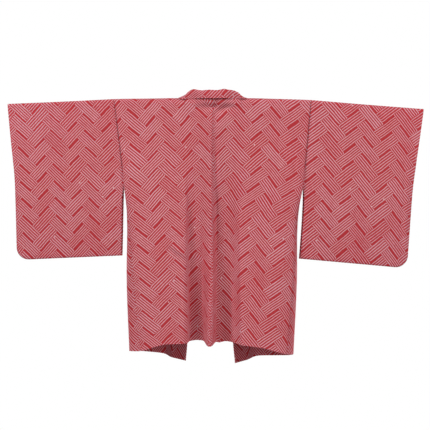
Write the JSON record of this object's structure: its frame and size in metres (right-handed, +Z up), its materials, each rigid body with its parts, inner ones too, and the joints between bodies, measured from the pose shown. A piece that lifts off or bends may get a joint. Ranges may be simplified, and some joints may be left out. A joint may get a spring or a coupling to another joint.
{
  "type": "haori jacket",
  "caption": "Open hip-length jacket with hanging pouch sleeves, side gussets and a folded band collar, held up by its shoulders, hollow inside.",
  "frame": {"origin": "on the shoulder line, midway between the two armholes, where the garment is held up", "axes": "+Z up, the back of the garment faces -Y and the open fronts face +Y, the sleeves reach out along X with the wearer's left at -X"},
  "size_m": [1.3001, 0.1726, 0.8534],
  "materials": {
    "cloth": "matte woven silk with a red and pale pink herringbone of short bars",
    "collar_cloth": "the same silk, folded double over an interlining"
  },
  "bodies": {
    "root": {"body_left": "cloth", "body_right": "cloth", "gusset_left": "cloth", "gusset_right": "cloth", "sleeve_left": "cloth", "sleeve_right": "cloth", "collar": "collar_cloth"}
  },
  "joints": []
}
